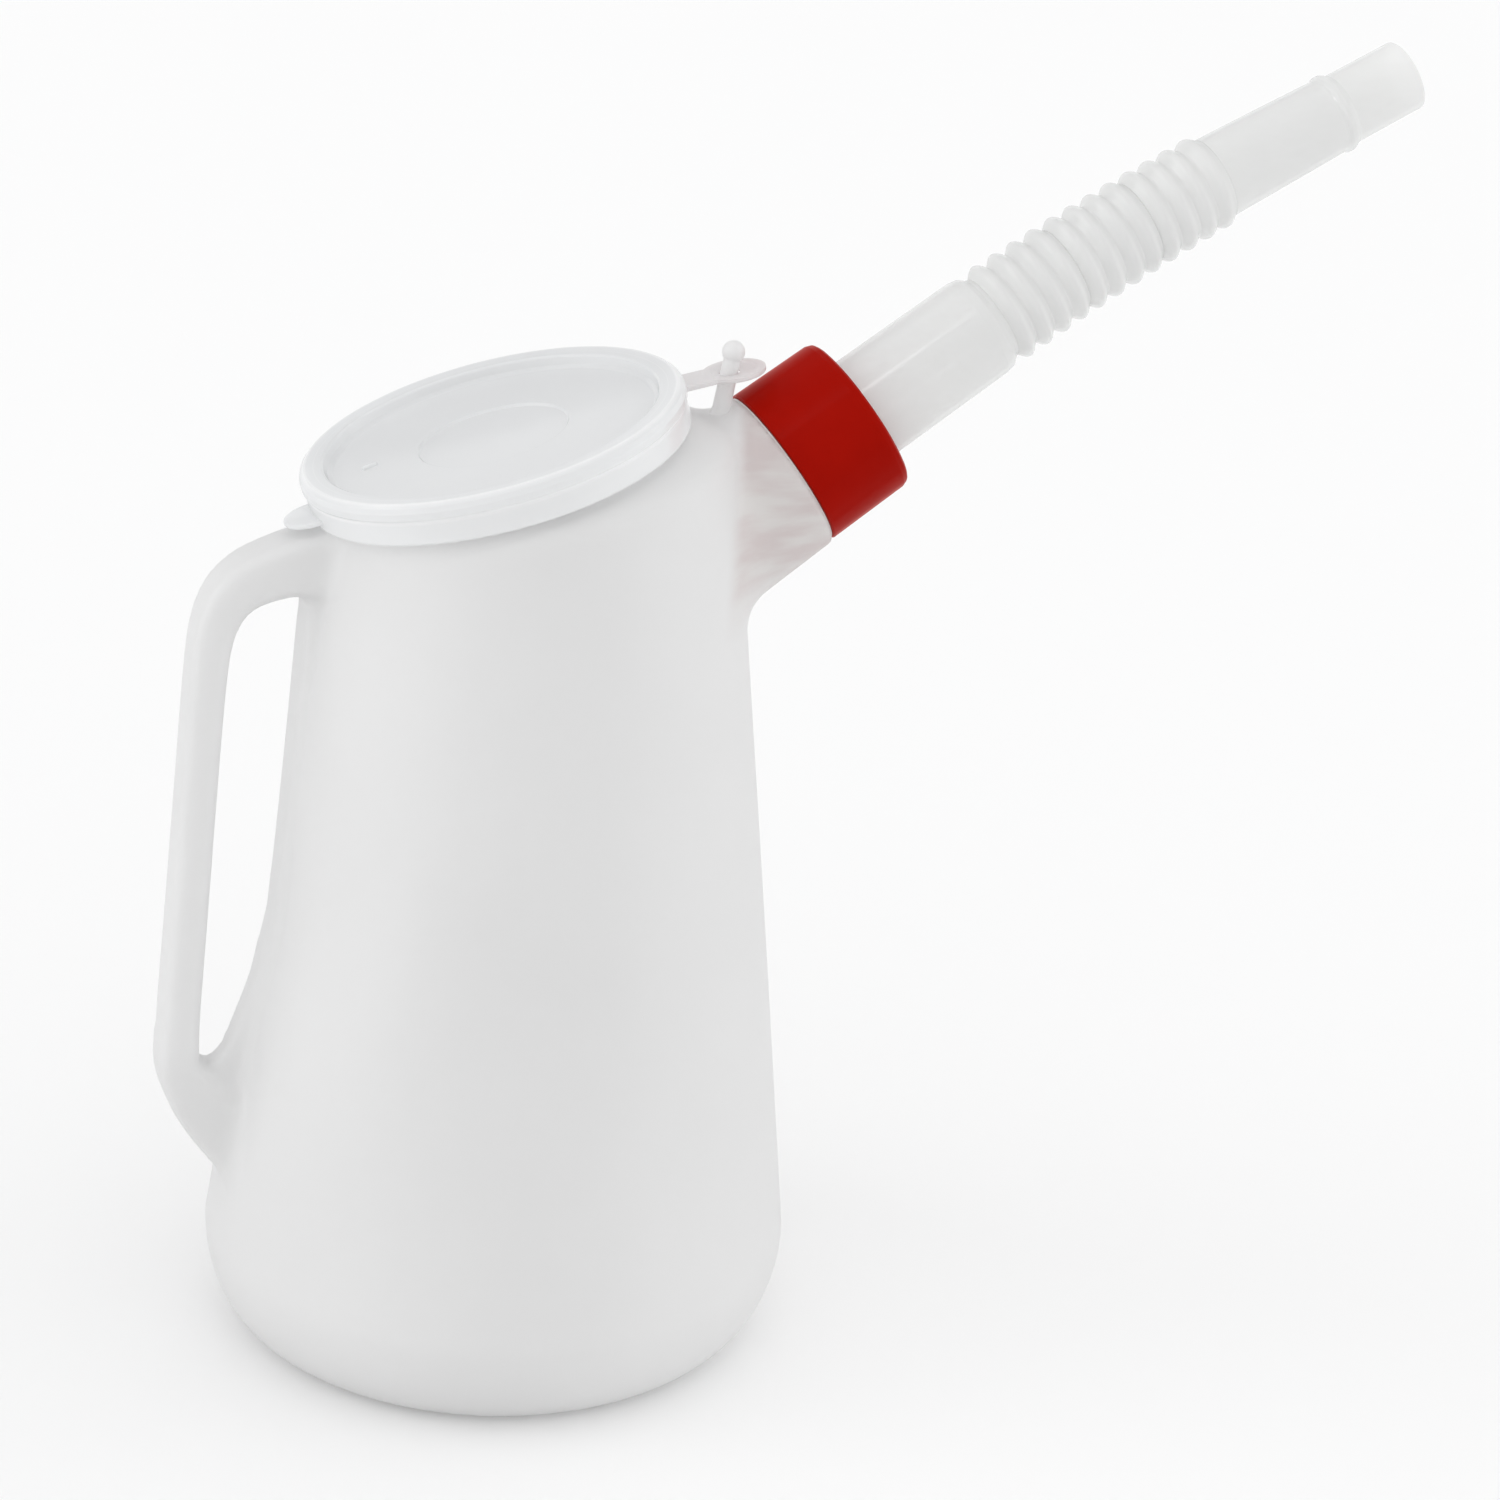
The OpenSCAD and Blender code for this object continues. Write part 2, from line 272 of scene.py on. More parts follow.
def opening(p):
    """Signed distance to the two ways out: the mouth and the neck's end."""
    q = p - LID_C
    w = q @ LID_N
    r = np.hypot(q @ LID_U, p[:, 1])
    mouth = np.maximum(r - 53.8, -20 - w)
    q = p - AX_O
    length = q @ AX_D
    rn = np.hypot(q @ AX_V, p[:, 1])
    neck = np.maximum(rn - 20.2, 2 - length)
    return np.minimum(mouth, neck)


def inner(p):
    return np.minimum(outer(p) + WALL, opening(p))


def gradient(fn, p, h=0.35):
    g = np.empty_like(p)
    for i in range(3):
        d = np.zeros(3)
        d[i] = h
        g[:, i] = (fn(p + d) - fn(p - d)) / (2 * h)
    return g


def surface(fn, lo, hi, h, keep=None):
    """Surface nets of fn's zero level, mirrored about y = 0, pulled onto the level."""
    nx = int(math.ceil((hi[0] - lo[0]) / h)) + 1
    ny = int(math.ceil(hi[1] / h)) + 1
    nz = int(math.ceil((hi[2] - lo[2]) / h)) + 1
    xs = lo[0] + h * np.arange(nx)
    ys = h * (np.arange(ny) + 0.5)
    zs = lo[2] + h * np.arange(nz)
    half = np.empty((nx, ny, nz))
    for i in range(0, nx, 16):
        g = np.stack(np.meshgrid(xs[i : i + 16], ys, zs, indexing="ij"), -1).reshape(-1, 3)
        half[i : i + 16] = fn(g).reshape(-1, ny, nz)
    full = np.concatenate([half[:, ::-1], half], axis=1)
    base = np.array([lo[0], -ys[-1], lo[2]])
    s = full < 0
    count = np.zeros(tuple(n - 1 for n in s.shape), np.int8)
    corners = [(i, j, k) for i in (0, 1) for j in (0, 1) for k in (0, 1)]
    a, b, c = count.shape
    for i, j, k in corners:
        count += s[i : a + i, j : b + j, k : c + k]
    act = (count > 0) & (count < 8)
    index = np.full(act.shape, -1, np.int64)
    index[act] = np.arange(act.sum())
    cell = np.argwhere(act)
    acc = np.zeros((len(cell), 3))
    num = np.zeros(len(cell))
    for p0 in corners:
        for ax in range(3):
            if p0[ax]:
                continue
            p1 = list(p0)
            p1[ax] = 1
            fa = full[tuple((cell + p0).T)]
            fb = full[tuple((cell + p1).T)]
            hit = (fa < 0) != (fb < 0)
            t = np.where(hit, fa / np.where(hit, fa - fb, 1), 0)
            pt = np.array(p0, float) + t[:, None] * (np.array(p1) - np.array(p0))
            acc[hit] += pt[hit]
            num[hit] += 1
    v = base + (cell + acc / num[:, None]) * h
    quads = []
    for ax in range(3):
        o1, o2 = [(1, 2), (2, 0), (0, 1)][ax]
        lo_i = [slice(1, -1)] * 3
        hi_i = [slice(1, -1)] * 3
        lo_i[ax] = slice(0, -1)
        hi_i[ax] = slice(1, None)
        s0, s1 = s[tuple(lo_i)], s[tuple(hi_i)]
        for flip in (False, True):
            e = np.argwhere((s0 & ~s1) if not flip else (~s0 & s1))
            off = np.ones(3, int)
            off[ax] = 0
            e = e + off
            d1 = np.zeros(3, int)
            d2 = np.zeros(3, int)
            d1[o1] = 1
            d2[o2] = 1
            q = [index[tuple((e - m).T)] for m in (d1 + d2, d2, np.zeros(3, int), d1)]
            q = np.stack(q, 1)
            quads.append(q[:, ::-1] if flip else q)
    quads = np.concatenate(quads)
    quads = quads[(quads >= 0).all(1)]
    for _ in range(4):
        f = fn(v)
        g = gradient(fn, v)
        step = (f / np.maximum((g**2).sum(1), 0.15))[:, None] * g
        step *= np.minimum(1, 0.7 * h / np.maximum(np.linalg.norm(step, axis=1), 1e-9))[:, None]
        v = v - step
    if keep is not None:
        ok = keep(v[quads].mean(1))
        quads = quads[ok]
    used, inverse = np.unique(quads, return_inverse=True)
    return v[used], inverse.reshape(quads.shape)


# ------------------------------------------------------------------ mesh tools
def mesh_object(name, v, faces, smooth=True, sharp=None):
    me = bpy.data.meshes.new(name)
    me.from_pydata([tuple(x) for x in np.asarray(v) / 1000.0], [], [tuple(int(i) for i in f) for f in faces])
    me.validate()
    me.update()
    if smooth:
        me.shade_smooth()
        if sharp is not None:
            me.set_sharp_from_angle(angle=math.radians(sharp))
    o = bpy.data.objects.new(name, me)
    bpy.context.scene.collection.objects.link(o)
    return o


def frame_points(v, origin, x, z):
    """From a local frame (x, y = world y, z) to the jug's."""
    v = np.asarray(v, float)
    y = np.array([0.0, 1.0, 0.0])
    return origin + v[:, :1] * x + v[:, 1:2] * y + v[:, 2:] * z


def lathe(profile, n=128, closed=True, radius=None):
    """Round mesh from a profile of (r, z). radius(r, z, angle) may change the radius."""
    prof = np.array(profile, float)
    ang = np.linspace(0, 2 * math.pi, n, endpoint=False)
    m = len(prof)
    v = []
    for a in ang:
        r = prof[:, 0] if radius is None else radius(prof[:, 0], prof[:, 1], a)
        v.append(np.stack([r * math.cos(a), r * math.sin(a), prof[:, 1]], 1))
    v = np.concatenate(v)
    f = []
    last = m if closed else m - 1
    for i in range(n):
        j = (i + 1) % n
        for k in range(last):
            l = (k + 1) % m
            f.append((i * m + k, j * m + k, j * m + l, i * m + l))
    return v, f


def rounded(points, default=0.4, steps=4):
    """Rounds the corners of a closed profile of (r, z[, corner radius])."""
    pts = [np.array(q[:2], float) for q in points]
    rad = [q[2] if len(q) > 2 else default for q in points]
    out = []
    n = len(pts)
    for i in range(n):
        a, b, c = pts[i - 1], pts[i], pts[(i + 1) % n]
        u, w = a - b, c - b
        lu, lw = np.linalg.norm(u), np.linalg.norm(w)
        if rad[i] <= 0 or lu < 1e-6 or lw < 1e-6:
            out.append(b)
            continue
        u, w = u / lu, w / lw
        cosang = np.clip(u @ w, -1, 1)
        ang = math.acos(cosang)
        if ang > math.radians(176):
            out.append(b)
            continue
        t = min(rad[i] / math.tan(ang / 2), 0.45 * lu, 0.45 * lw)
        s, e = b + u * t, b + w * t
        for k in range(steps + 1):
            x = k / steps
            out.append((1 - x) ** 2 * s + 2 * x * (1 - x) * b + x**2 * e)
    return out


def join(objs, name):
    bpy.ops.object.select_all(action="DESELECT")
    for o in objs:
        o.select_set(True)
    bpy.context.view_layer.objects.active = objs[0]
    bpy.ops.object.join()
    objs[0].name = name
    objs[0].data.name = name
    return objs[0]


def placed(profile, origin, x, z, name, n=128, sharp=None, radius=None, closed=True):
    v, f = lathe(profile, n, closed, radius)
    return mesh_object(name, frame_points(v, origin, x, z), f, True, sharp)


# ------------------------------------------------------------------- materials
def principled(name, color, rough, **more):
    m = bpy.data.materials.new(name)
    m.use_nodes = True
    nt = m.node_tree
    b = nt.nodes["Principled BSDF"]
    b.inputs["Base Color"].default_value = (*color, 1)
    b.inputs["Roughness"].default_value = rough
    for key, val in more.items():
        b.inputs[key.replace("_", " ")].default_value = val
    return m, nt, b


def noise_into(nt, b, scale, detail, amount, colors, coord="Object", bump=0.0, bump_scale=None):
    """Soft mottling of the base colour and a faint bump."""
    tc = nt.nodes.new("ShaderNodeTexCoord")
    tex = nt.nodes.new("ShaderNodeTexNoise")
    tex.inputs["Scale"].default_value = scale
    tex.inputs["Detail"].default_value = detail
    nt.links.new(tc.outputs[coord], tex.inputs["Vector"])
    ramp = nt.nodes.new("ShaderNodeValToRGB")
    ramp.color_ramp.elements[0].position = 0.5 - amount
    ramp.color_ramp.elements[1].position = 0.5 + amount
    ramp.color_ramp.elements[0].color = (*colors[0], 1)
    ramp.color_ramp.elements[1].color = (*colors[1], 1)
    nt.links.new(tex.outputs["Fac"], ramp.inputs["Fac"])
    nt.links.new(ramp.outputs["Color"], b.inputs["Base Color"])
    if bump:
        fine = nt.nodes.new("ShaderNodeTexNoise")
        fine.inputs["Scale"].default_value = bump_scale or scale * 6
        fine.inputs["Detail"].default_value = 2
        nt.links.new(tc.outputs[coord], fine.inputs["Vector"])
        bm = nt.nodes.new("ShaderNodeBump")
        bm.inputs["Strength"].default_value = bump
        bm.inputs["Distance"].default_value = 0.001
        nt.links.new(fine.outputs["Fac"], bm.inputs["Height"])
        nt.links.new(bm.outputs["Normal"], b.inputs["Normal"])
    return ramp


def milky(name, lo, hi, rough, clear, scale=22, bump=0.05, bump_scale=60, tint=(0.93, 0.95, 0.96)):
    """Translucent polyethylene: a milky scattering skin mixed with see-through."""
    m, nt, b = principled(name, hi, rough)
    b.inputs["Subsurface Weight"].default_value = 0.0
    b.inputs["Specular IOR Level"].default_value = 0.5
    noise_into(nt, b, scale, 3, 0.22, (lo, hi), bump=bump, bump_scale=bump_scale)
    out = nt.nodes["Material Output"]
    trl = nt.nodes.new("ShaderNodeBsdfTranslucent")
    trl.inputs["Color"].default_value = (*hi, 1)
    mix1 = nt.nodes.new("ShaderNodeMixShader")
    mix1.inputs["Fac"].default_value = 0.35
    nt.links.new(b.outputs[0], mix1.inputs[1])
    nt.links.new(trl.outputs[0], mix1.inputs[2])
    tr = nt.nodes.new("ShaderNodeBsdfTransparent")
    tr.inputs["Color"].default_value = (*tint, 1)
    mix2 = nt.nodes.new("ShaderNodeMixShader")
    mix2.inputs["Fac"].default_value = clear
    nt.links.new(mix1.outputs[0], mix2.inputs[1])
    nt.links.new(tr.outputs[0], mix2.inputs[2])
    nt.links.new(mix2.outputs[0], out.inputs["Surface"])
    return m


MAT = {
    "body": milky("MAT_body", (0.815, 0.815, 0.815), (0.855, 0.855, 0.855), 0.42, 0.0, scale=9, bump=0.03),
    "lid": milky("MAT_lid", (0.85, 0.855, 0.86), (0.88, 0.885, 0.89), 0.1, 0.08, scale=14, bump=0.0),
    # the strap's faint pink is painted red light reflected off the nut
    "strap": milky("MAT_strap", (0.80, 0.775, 0.775), (0.85, 0.83, 0.83), 0.3, 0.2),
    "spout": milky("MAT_spout", (0.83, 0.83, 0.83), (0.88, 0.88, 0.875), 0.12, 0.36, scale=30, bump=0.05, bump_scale=90, tint=(0.95, 0.955, 0.955)),
}


def neck_tone_and_nut_light(m):
    """The neck's wall is thinner, mottled and darker; its warm tint is painted red light off the nut."""
    nt = m.node_tree
    b = nt.nodes["Principled BSDF"]
    base = b.inputs["Base Color"].links[0].from_socket
    tc = nt.nodes.new("ShaderNodeTexCoord")
    dot = nt.nodes.new("ShaderNodeVectorMath")
    dot.operation = "DOT_PRODUCT"
    dot.inputs[1].default_value = (0.9397, -0.3420, 0.0)
    nt.links.new(tc.outputs["Object"], dot.inputs[0])
    where = nt.nodes.new("ShaderNodeMapRange")
    where.interpolation_type = "SMOOTHSTEP"
    where.inputs["From Min"].default_value = 0.0615
    where.inputs["From Max"].default_value = 0.0665
    nt.links.new(dot.outputs["Value"], where.inputs["Value"])
    height = nt.nodes.new("ShaderNodeSeparateXYZ")
    nt.links.new(tc.outputs["Object"], height.inputs[0])
    above = nt.nodes.new("ShaderNodeMapRange")
    above.interpolation_type = "SMOOTHSTEP"
    above.inputs["From Min"].default_value = 0.238
    above.inputs["From Max"].default_value = 0.262
    nt.links.new(height.outputs["Z"], above.inputs["Value"])
    both = nt.nodes.new("ShaderNodeMath")
    both.operation = "MULTIPLY"
    nt.links.new(where.outputs["Result"], both.inputs[0])
    nt.links.new(above.outputs["Result"], both.inputs[1])
    squash = nt.nodes.new("ShaderNodeVectorMath")
    squash.operation = "MULTIPLY"
    squash.inputs[1].default_value = (0.55, 0.55, 2.2)
    nt.links.new(tc.outputs["Object"], squash.inputs[0])
    tex = nt.nodes.new("ShaderNodeTexNoise")
    tex.inputs["Scale"].default_value = 75
    tex.inputs["Detail"].default_value = 4
    nt.links.new(squash.outputs[0], tex.inputs["Vector"])
    # warm ramp colours: painted red light off the nut, mottled
    ramp = nt.nodes.new("ShaderNodeValToRGB")
    ramp.color_ramp.elements[0].position = 0.38
    ramp.color_ramp.elements[1].position = 0.62
    ramp.color_ramp.elements[0].color = (0.67, 0.595, 0.59, 1)
    ramp.color_ramp.elements[1].color = (0.755, 0.73, 0.715, 1)
    nt.links.new(tex.outputs["Fac"], ramp.inputs["Fac"])
    mix = nt.nodes.new("ShaderNodeMix")
    mix.data_type = "RGBA"
    nt.links.new(both.outputs[0], mix.inputs[0])
    nt.links.new(base, mix.inputs[6])
    nt.links.new(ramp.outputs["Color"], mix.inputs[7])
    nt.links.new(mix.outputs[2], b.inputs["Base Color"])


def paint_crest_highlights(m):
    """Painted highlights: the lid's thin crests, seen edge on, are coloured whiter than its flats."""
    nt = m.node_tree
    b = nt.nodes["Principled BSDF"]
    base = b.inputs["Base Color"].links[0].from_socket
    tc = nt.nodes.new("ShaderNodeTexCoord")
    away = nt.nodes.new("ShaderNodeVectorMath")
    away.operation = "SUBTRACT"
    away.inputs[1].default_value = tuple(LID_C / 1000)
    nt.links.new(tc.outputs["Object"], away.inputs[0])
    up = nt.nodes.new("ShaderNodeVectorMath")
    up.operation = "DOT_PRODUCT"
    up.inputs[1].default_value = tuple(LID_N)
    nt.links.new(away.outputs[0], up.inputs[0])
    lift = nt.nodes.new("ShaderNodeVectorMath")
    lift.operation = "SCALE"
    lift.inputs[0].default_value = tuple(LID_N)
    nt.links.new(up.outputs["Value"], lift.inputs["Scale"])
    flat = nt.nodes.new("ShaderNodeVectorMath")
    flat.operation = "SUBTRACT"
    nt.links.new(away.outputs[0], flat.inputs[0])
    nt.links.new(lift.outputs[0], flat.inputs[1])
    size = nt.nodes.new("ShaderNodeVectorMath")
    size.operation = "LENGTH"
    nt.links.new(flat.outputs[0], size.inputs[0])
    # painted highlights: white between radii 57.6 and 59.3 on top, and along the bead's lower edge
    by_r = nt.nodes.new("ShaderNodeValToRGB")
    by_r.color_ramp.elements[0].position = 0.0
    by_r.color_ramp.elements[0].color = (0, 0, 0, 1)
    by_r.color_ramp.elements[1].position = 1.0
    by_r.color_ramp.elements[1].color = (0, 0, 0, 1)
    for at, val in ((0.512, 0.0), (0.53, 0.6), (0.548, 0.0), (0.745, 0.0), (0.80, 1.0), (0.86, 1.0), (0.935, 0.15)):
        e = by_r.color_ramp.elements.new(at)
        e.color = (val, val, val, 1)
    span = nt.nodes.new("ShaderNodeMapRange")
    span.inputs["From Min"].default_value = 0.050
    span.inputs["From Max"].default_value = 0.060
    nt.links.new(size.outputs["Value"], span.inputs["Value"])
    nt.links.new(span.outputs["Result"], by_r.inputs["Fac"])
    by_w = nt.nodes.new("ShaderNodeValToRGB")
    by_w.color_ramp.elements[0].position = 0.0
    by_w.color_ramp.elements[0].color = (0.25, 0.25, 0.25, 1)
    by_w.color_ramp.elements[1].position = 1.0
    by_w.color_ramp.elements[1].color = (0, 0, 0, 1)
    for at, val in ((0.50, 0.2), (0.575, 1.0), (0.625, 1.0), (0.70, 0.1), (0.95, 0.0)):
        e = by_w.color_ramp.elements.new(at)
        e.color = (val, val, val, 1)
    drop = nt.nodes.new("ShaderNodeMapRange")
    drop.inputs["From Min"].default_value = -0.0130
    drop.inputs["From Max"].default_value = -0.0005
    nt.links.new(up.outputs["Value"], drop.inputs["Value"])
    nt.links.new(drop.outputs["Result"], by_w.inputs["Fac"])
    outside = nt.nodes.new("ShaderNodeMath")
    outside.operation = "GREATER_THAN"
    outside.inputs[1].default_value = 0.0588
    nt.links.new(size.outputs["Value"], outside.inputs[0])
    edge = nt.nodes.new("ShaderNodeMath")
    edge.operation = "MULTIPLY"
    nt.links.new(outside.outputs[0], edge.inputs[0])
    nt.links.new(by_w.outputs["Color"], edge.inputs[1])
    total = nt.nodes.new("ShaderNodeMath")
    total.operation = "MAXIMUM"
    nt.links.new(by_r.outputs["Color"], total.inputs[0])
    nt.links.new(edge.outputs[0], total.inputs[1])
    mix = nt.nodes.new("ShaderNodeMix")
    mix.data_type = "RGBA"
    mix.inputs[7].default_value = (0.985, 0.985, 0.985, 1)
    nt.links.new(total.outputs[0], mix.inputs[0])
    nt.links.new(base, mix.inputs[6])
    nt.links.new(mix.outputs[2], b.inputs["Base Color"])


neck_tone_and_nut_light(MAT["body"])
paint_crest_highlights(MAT["lid"])
MAT["nut"], nt, b = principled("MAT_nut", (0.30, 0.005, 0.0015), 0.34)
b.inputs["Specular IOR Level"].default_value = 0.025
b.inputs["Sheen Weight"].default_value = 0.25
b.inputs["Sheen Roughness"].default_value = 0.35
b.inputs["Sheen Tint"].default_value = (1.0, 0.10, 0.03, 1)
noise_into(nt, b, 40, 3, 0.3, ((0.27, 0.003, 0.0006), (0.33, 0.0045, 0.001)), bump=0.06, bump_scale=220)
MAT["seal"], nt, b = principled("MAT_seal", (0.7, 0.7, 0.69), 0.7)
noise_into(nt, b, 60, 2, 0.3, ((0.64, 0.64, 0.63), (0.72, 0.72, 0.71)))

# ---------------------------------------------------------------------- jug body
LO, HI = (-121.0, 0.0, -3.0), (104.0, 98.0, 318.0)
v, f = surface(outer, LO, HI, 1.75, keep=lambda c: opening(c) > 0.15)
shell = mesh_object("jug_outside", v, f)
v, f = surface(inner, (-119.0, 0.0, -1.0), (104.0, 96.0, 318.0), 3.0, keep=lambda c: outer(c) < -0.25)
lining = mesh_object("jug_inside", v, f[:, ::-1])

# mouth's rim with its retaining bead
rim = rounded(
    [
        (53.7, -24, 0.2), (55.2, -24, 0.2), (56.05, -19, 0.5), (56.05, -9.0, 0.6), (56.55, -7.4, 0.8),
        (56.5, -5.6, 0.8), (55.4, -3.2, 0.7), (53.7, -3.2, 0.5),
    ]
)
mouth = placed(rim, LID_C, LID_U, LID_N, "mouth_rim", 160, 50)

# screwed end of the neck
neck_x = np.cross(np.array([0.0, 1.0, 0.0]), AX_D)
spig = rounded([(20.0, 6.0, 0), (22.7, 6.0, 0), (22.7, 12.6, 0), (26.6, 12.6, 0), (26.6, 13.2, 0.3), (22.7, 13.2, 0), (22.7, 36.5, 0.7), (20.0, 36.5, 0.5)])
spigot = placed(spig, AX_O, neck_x, AX_D, "neck_end", 128, 50)



def thread(r0, height, pitch, start, turns, width, name, steps=64):
    """A raised screw thread on a cylinder, fading in and out."""
    v, f = [], []
    n = int(turns * steps)
    sec = [(-0.2, -0.5), (height * 0.75, -0.24), (height, -0.12), (height, 0.12), (height * 0.75, 0.24), (-0.2, 0.5)]
    for i in range(n + 1):
        a = 2 * math.pi * i / steps
        fade = min(1, i / (steps * 0.2), (n - i) / (steps * 0.2))
        z = start + pitch * i / steps
        for h, s in sec:
            r = r0 + (h if h < 0 else h * fade)
            v.append((r * math.cos(a), r * math.sin(a), z + s * width))
    m = len(sec)
    for i in range(n):
        for k in range(m - 1):
            f.append((i * m + k, (i + 1) * m + k, (i + 1) * m + k + 1, i * m + k + 1))
    return mesh_object(name, frame_points(v, AX_O, neck_x, AX_D), f)


screw = thread(22.65, 0.62, 6.0, 18.0, 2.3, 3.0, "neck_thread")

# post with its ball, which the lid's eye is pressed over
post_x = np.cross(np.array([0.0, 1.0, 0.0]), POST_N)
post_prof = [(0.0, -5.0), (4.6, -5.0), (4.4, -1.0), (3.7, 0.2), (3.1, 1.4), (2.85, 3.2), (2.8, 8.0), (2.75, 14.0), (2.7, 17.6)]
for k in range(17):
    a = math.radians(-44 + k * (134 / 16))
    post_prof.append((3.6 * math.cos(a), 20.7 + 3.6 * math.sin(a)))
post_prof[-1] = (0.0, 24.3)
post = placed(post_prof, POST_O, post_x, POST_N, "tether_post", 48, closed=False)
jug = join([shell, lining, mouth, spigot, screw, post], "jug_shell")
jug.data.materials.append(MAT["body"])
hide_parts("jug_body")
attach(jug, "jug")

# --------------------------------------------------------------------------- lid
top = [
    (0.0, -4.8, 0), (23.0, -4.8, 0.4), (23.7, -4.05, 0.4), (50.2, -4.0, 1.2), (51.6, -3.0, 0.7), (52.3, -0.8, 0.6),
    (53.1, -0.3, 0.4), (55.0, -0.25, 0), (57.7, -0.05, 0.3), (58.4, 0.0, 0.35), (59.7, -1.1, 0.6), (60.35, -2.7, 0.8),
    (60.3, -4.7, 0.5), (59.65, -5.4, 0.25), (59.45, -5.9, 0.3), (59.6, -6.6, 0.5), (59.7, -12.3, 0.6), (59.5, -12.95, 0.35),
    (58.5, -13.0, 0.3), (58.25, -3.4, 0.6), (57.5, -1.9, 0.8), (54.2, -1.8, 0.8), (53.2, -2.8, 0.5),
    (52.6, -5.6, 0.6), (51.6, -6.0, 0.6), (23.6, -5.6, 0.5), (22.8, -6.4, 0.5), (0.0, -6.4, 0),
]
prof = rounded(top, steps=5)
lid_obj = placed(prof, LID_C, LID_U, LID_N, "lid_shell", 224, 55, closed=False)

# pull tab under the bead, on the handle side: round, with its centre on the skirt
arc = math.acos((59.0**2 + 59.5**2 - 9.2**2) / (2 * 59.0 * 59.5))
reach = math.atan2(59.0 * math.sin(arc), 59.0 * math.cos(arc) - 59.5)
outline = []
for k in range(49):
    a = -reach + 2 * reach * k / 48
    outline.append((-59.5 - 9.2 * math.cos(a), 9.2 * math.sin(a)))
for k in range(1, 12):
    a = arc - 2 * arc * k / 12
    outline.append((-58.8 * math.cos(a), 58.8 * math.sin(a)))
outline = np.array(outline)


def slab(outline, layers, name, origin, x, z):
    """A thin plate with softened edges. layers: (inset, z)."""
    c = outline.mean(0)
    n = len(outline)
    nxt, prv = np.roll(outline, -1, axis=0), np.roll(outline, 1, axis=0)
    t = nxt - prv
    t /= np.linalg.norm(t, axis=1)[:, None]
    nrm = np.stack([t[:, 1], -t[:, 0]], 1)
    if ((outline - c) * nrm).sum() < 0:
        nrm = -nrm
    v, f = [], []
    for inset, zz in layers:
        ring = outline - nrm * inset
        v += [(a, b, zz) for a, b in ring]
    m = len(layers)
    for k in range(m - 1):
        for i in range(n):
            j = (i + 1) % n
            f.append((k * n + i, k * n + j, (k + 1) * n + j, (k + 1) * n + i))
    f.append(tuple(range(n))[::-1])
    f.append(tuple((m - 1) * n + i for i in range(n)))
    return mesh_object(name, frame_points(v, origin, x, z), f, True, 40)


tab_obj = slab(outline, [(0.55, -10.9), (0.15, -10.75), (0.0, -10.4), (0.0, -9.9), (0.15, -9.55), (0.55, -9.4)], "lid_tab", LID_C, LID_U, LID_N)
# a small raised gate mark on the panel
gate = [(0.0, -3.0)] + [(1.1 * math.sin(math.radians(a)), -4.1 + 1.1 * math.cos(math.radians(a))) for a in range(15, 91, 15)]
v, f = lathe(gate, 32, False)
v[:, 0] += np.sign(np.round(v[:, 0], 6)) * 1.6
v[:, 1] += 0.15 * v[:, 0] + 7.3
v[:, 0] += -38.0
gate_obj = mesh_object("lid_gate", frame_points(v, LID_C, LID_U, LID_N), f)
lid_obj = join([lid_obj, tab_obj, gate_obj], "lid_visual")
lid_obj.data.materials.append(MAT["lid"])
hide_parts("lid")
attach(lid_obj, "lid")

# ------------------------------------------------------- strap and eye of the lid
# a ring with a thin floor and a hole in it, and the strap running back to the skirt
def hole_reach(a):
    """Distance from the eye's centre to the edge of the hole, which is off centre."""
    c, d = math.cos(a), math.sin(a)
    return -1.6 * c + math.sqrt(3.4**2 - (1.6 * d) ** 2)


def arm_reach(a):
    """Distance from the eye's centre to the strap's outline, or 0 away from the strap."""
    c, d = math.cos(a), abs(math.sin(a))
    if c >= 0:
        return 0.0
    return min(19.3 / -c, 6.5 / max(d, 1e-9))


angles = sorted(
    {round(2 * math.pi * k / 120, 9) for k in range(120)}
    | {round(math.pi + s * math.atan2(6.5, x), 9) for s in (-1, 1) for x in (19.3, 18.9, 7.6, 7.9)}
)
v, f = [], []
for a in angles:
    near, arm = hole_reach(a), arm_reach(a)
    far = max(10.0, arm)
    line = [
        (near, -0.4), (near, 0.0), (near + 0.3, 0.2), (6.3, 0.2), (6.8, 0.3), (7.05, 0.55), (7.2, 0.75), (7.55, 0.9),
        (8.6, 0.95), (9.4, 0.9), (9.8, 0.8),
    ]
    if arm > 10.05:
        line += [(9.95 + (far - 10.15) * t, 0.75) for t in np.linspace(0, 1, 14)]
    else:
        line += [(10.0, 0.75 - 0.45 * t) for t in np.linspace(0, 1, 14)]
    line += [(far, 0.25), (far, -0.4)]
    line += [(far - 0.3 - (far - near - 0.6) * t, -0.75) for t in np.linspace(0, 1, 20)]
    v += [(r * math.cos(a), r * math.sin(a), h) for r, h in line]
m = len(line)
for i in range(len(angles)):
    j = (i + 1) % len(angles)
    for k in range(m):
        l = (k + 1) % m
        f.append((i * m + k, i * m + l, j * m + l, j * m + k))
strap = mesh_object("strap_visual", frame_points(v, EYE_O, EYE_U, EYE_N), f, True, 50)
strap.data.materials.append(MAT["strap"])
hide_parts("lid_strap")
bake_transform(strap)

# ------------------------------------------------------------------ union nut
nut = rounded(
    [
        (23.5, 13.5, 0.3), (27.0, 13.5, 0.2), (27.4, 13.9, 0.3), (26.95, 40.9, 0.6), (26.3, 42.7, 1.2), (25.0, 43.5, 0.7),
        (17.8, 43.5, 0.3), (17.8, 40.9, 0.2), (23.5, 40.9, 0.3),
    ],
    steps=6,
)


def fluted(r, z, a):
    """Eight broad, very low lobes round the outside."""
    lobe = 0.5 + 0.5 * math.tanh(3.0 * math.cos(8 * a + 0.6))
    out = r > 24.4
    return r - np.where(out, 0.16 * (1 - lobe), 0.0)


